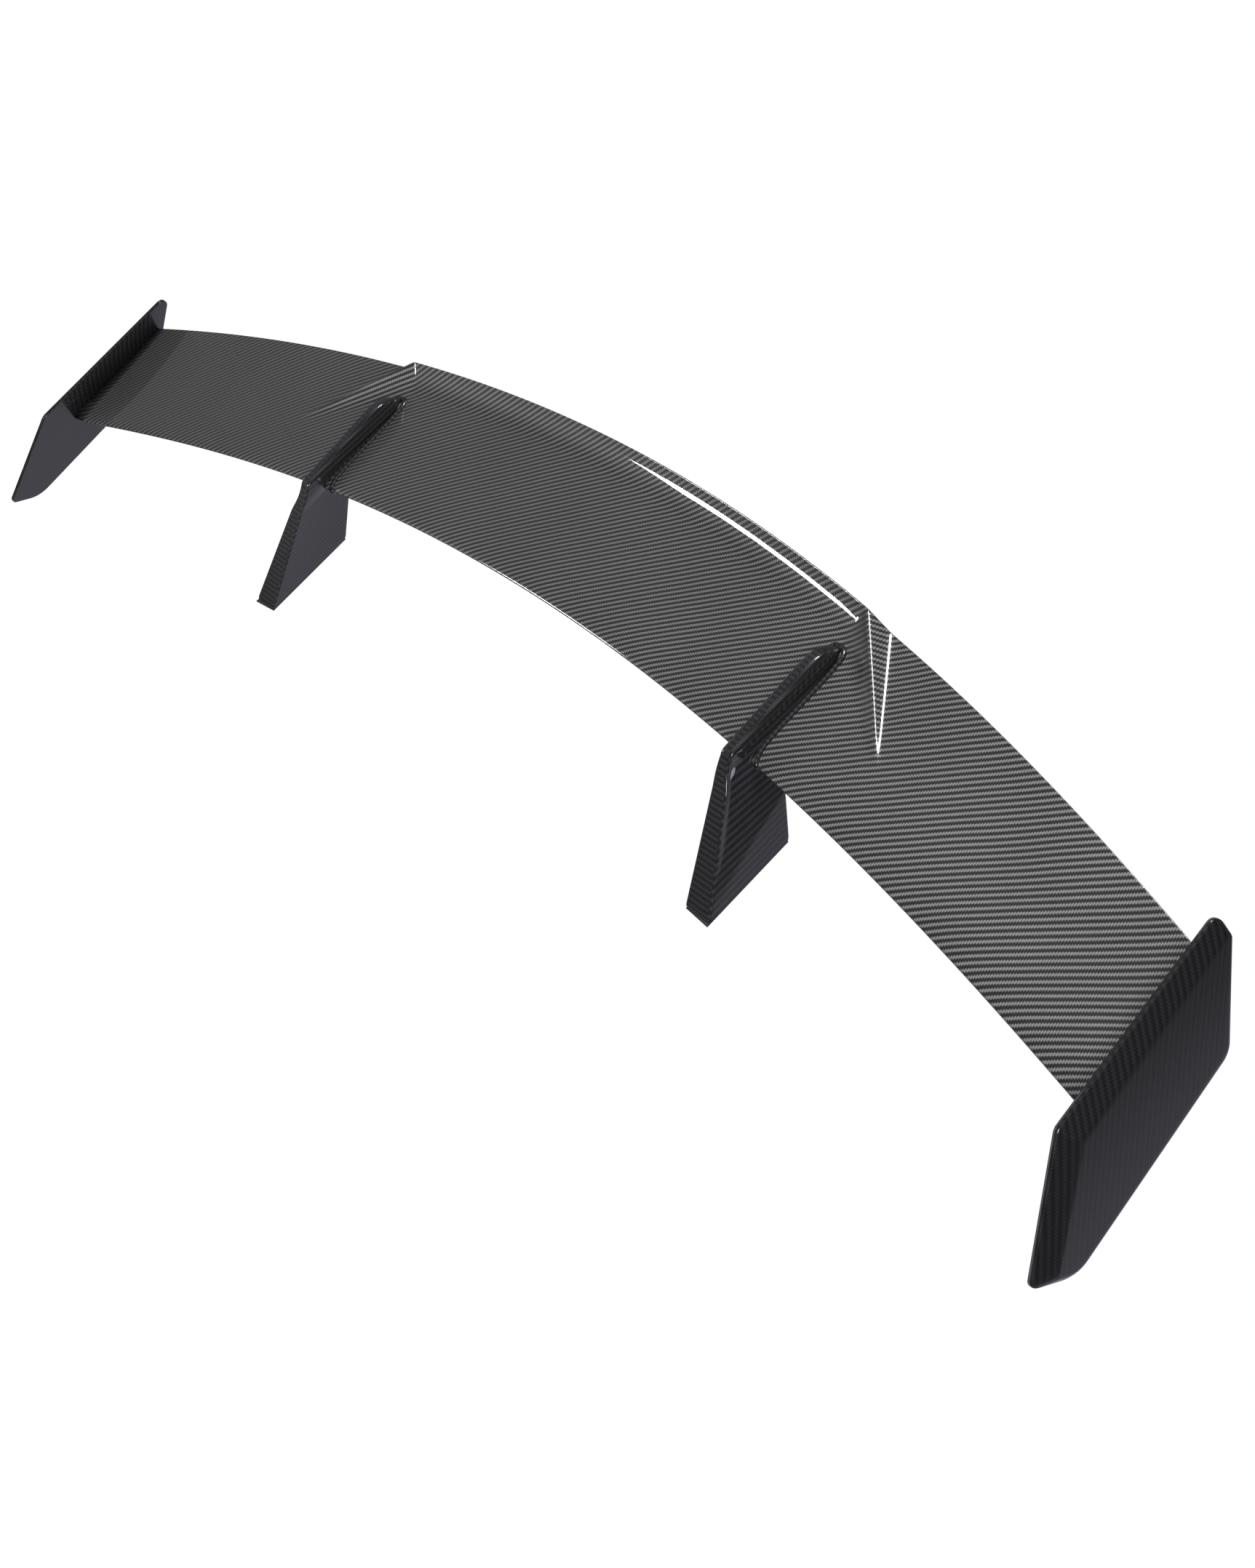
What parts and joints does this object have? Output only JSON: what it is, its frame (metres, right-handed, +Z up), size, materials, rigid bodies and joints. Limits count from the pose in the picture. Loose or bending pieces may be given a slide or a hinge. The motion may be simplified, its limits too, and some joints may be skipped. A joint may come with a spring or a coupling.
{
  "type": "racing rear wing",
  "caption": "Fixed swan-neck rear wing with a bowed blade, a raised centre lip, leaning hooked supports and flared endplates, for bolting to a rear deck.",
  "frame": {"origin": "centre of the bolt pattern, in the plane of the feet's undersides", "axes": "+X along the span, the leading edge faces -Y, +Z up away from the deck"},
  "size_m": [1.7712, 0.4207, 0.1486],
  "materials": {
    "carbon_twill": "clear-coated black carbon twill",
    "carbon_dark": "clear-coated black carbon twill, dark",
    "carbon_support": "clear-coated black carbon twill",
    "carbon_spar": "uncoated laminate",
    "foam": "rigid foam",
    "plate_metal": "machined",
    "pin_steel": "ground",
    "screw_steel": "blackened",
    "pad_rubber": "matte"
  },
  "bodies": {
    "root": {"blade_upper_skin": "carbon_twill", "blade_lower_skin": "carbon_twill", "nose_core": "foam", "front_spar": "carbon_spar", "core_left": "foam", "core_centre": "foam", "core_right": "foam", "rear_spar": "carbon_spar", "lip_core": "foam", "support_rib_left": "plate_metal", "support_rib_right": "plate_metal", "tip_rib_left": "plate_metal", "tip_rib_right": "plate_metal", "endplate_outer_left": "carbon_dark", "endplate_outer_right": "carbon_dark", "endplate_inner_left": "carbon_dark", "endplate_inner_right": "carbon_dark", "endplate_core_left": "foam", "endplate_core_right": "foam", "tip_dowels": "pin_steel", "support_shell_left": "carbon_support", "support_shell_right": "carbon_support", "fin_bead_left": "carbon_support", "fin_bead_right": "carbon_support", "saddle_left": "plate_metal", "saddle_right": "plate_metal", "spine_left": "plate_metal", "spine_right": "plate_metal", "foot_block_left": "plate_metal", "foot_block_right": "plate_metal", "foot_pad_left": "pad_rubber", "foot_pad_right": "pad_rubber", "spine_screws": "screw_steel"}
  },
  "joints": []
}
